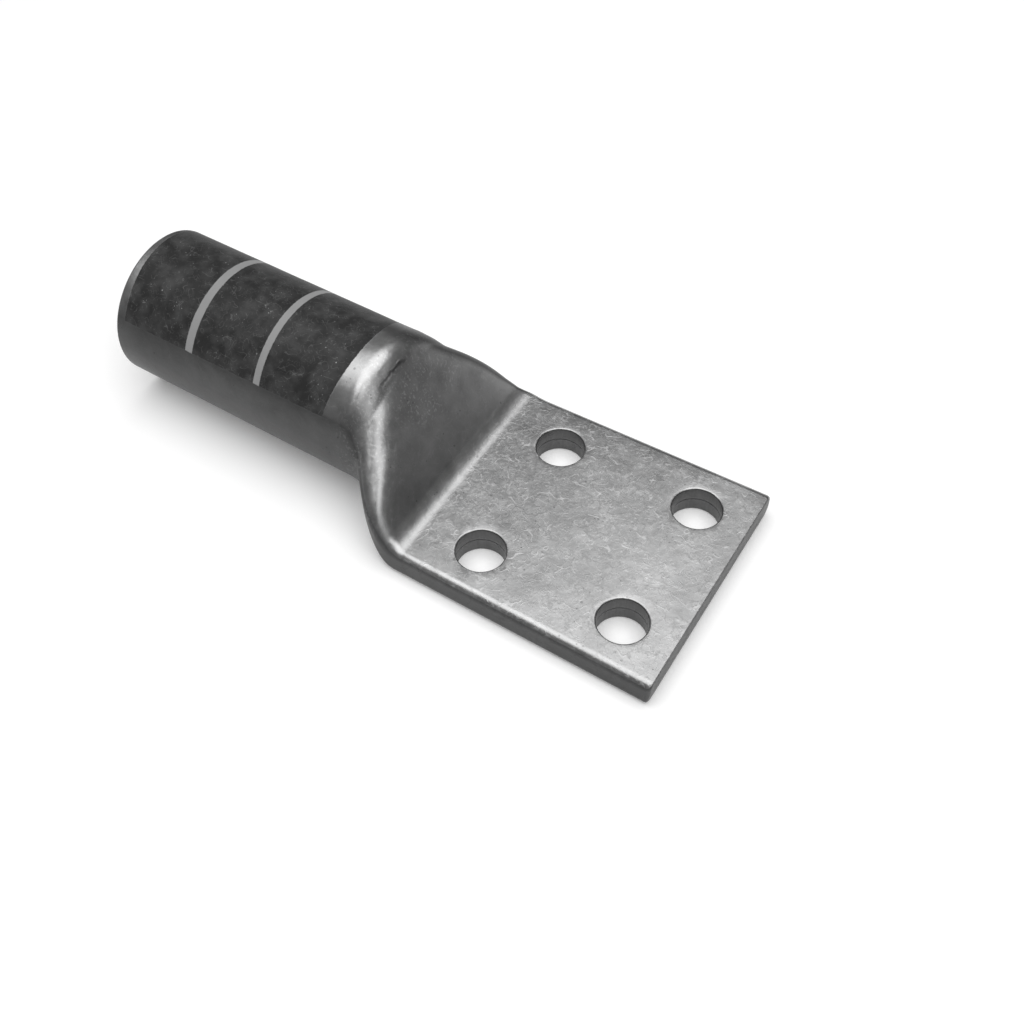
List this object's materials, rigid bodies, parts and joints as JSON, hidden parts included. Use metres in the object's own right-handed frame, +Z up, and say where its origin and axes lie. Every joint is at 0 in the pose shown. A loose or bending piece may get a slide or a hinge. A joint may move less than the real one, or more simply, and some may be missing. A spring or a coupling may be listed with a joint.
{
  "type": "compression cable lug",
  "caption": "Heavy tin-plated copper compression lug for a stranded power cable, made from one length of tube, with a bolt-down tang flattened flush with the barrel's underside",
  "frame": {"origin": "Centre of the square of bolt holes, on the flat underside of the tang, which is the contact face.", "axes": "+X runs along the lug from the barrel towards the free end of the tang, +Y runs across the tang, and +Z points up from the contact face."},
  "size_m": [0.1908, 0.0738, 0.0465],
  "materials": {
    "tinned_copper": "tin plate over copper, satin grey with tumbling marks; a dark printed ink band with light stripes on the barrel"
  },
  "bodies": {
    "root": {"lug": "tinned_copper"}
  },
  "joints": []
}
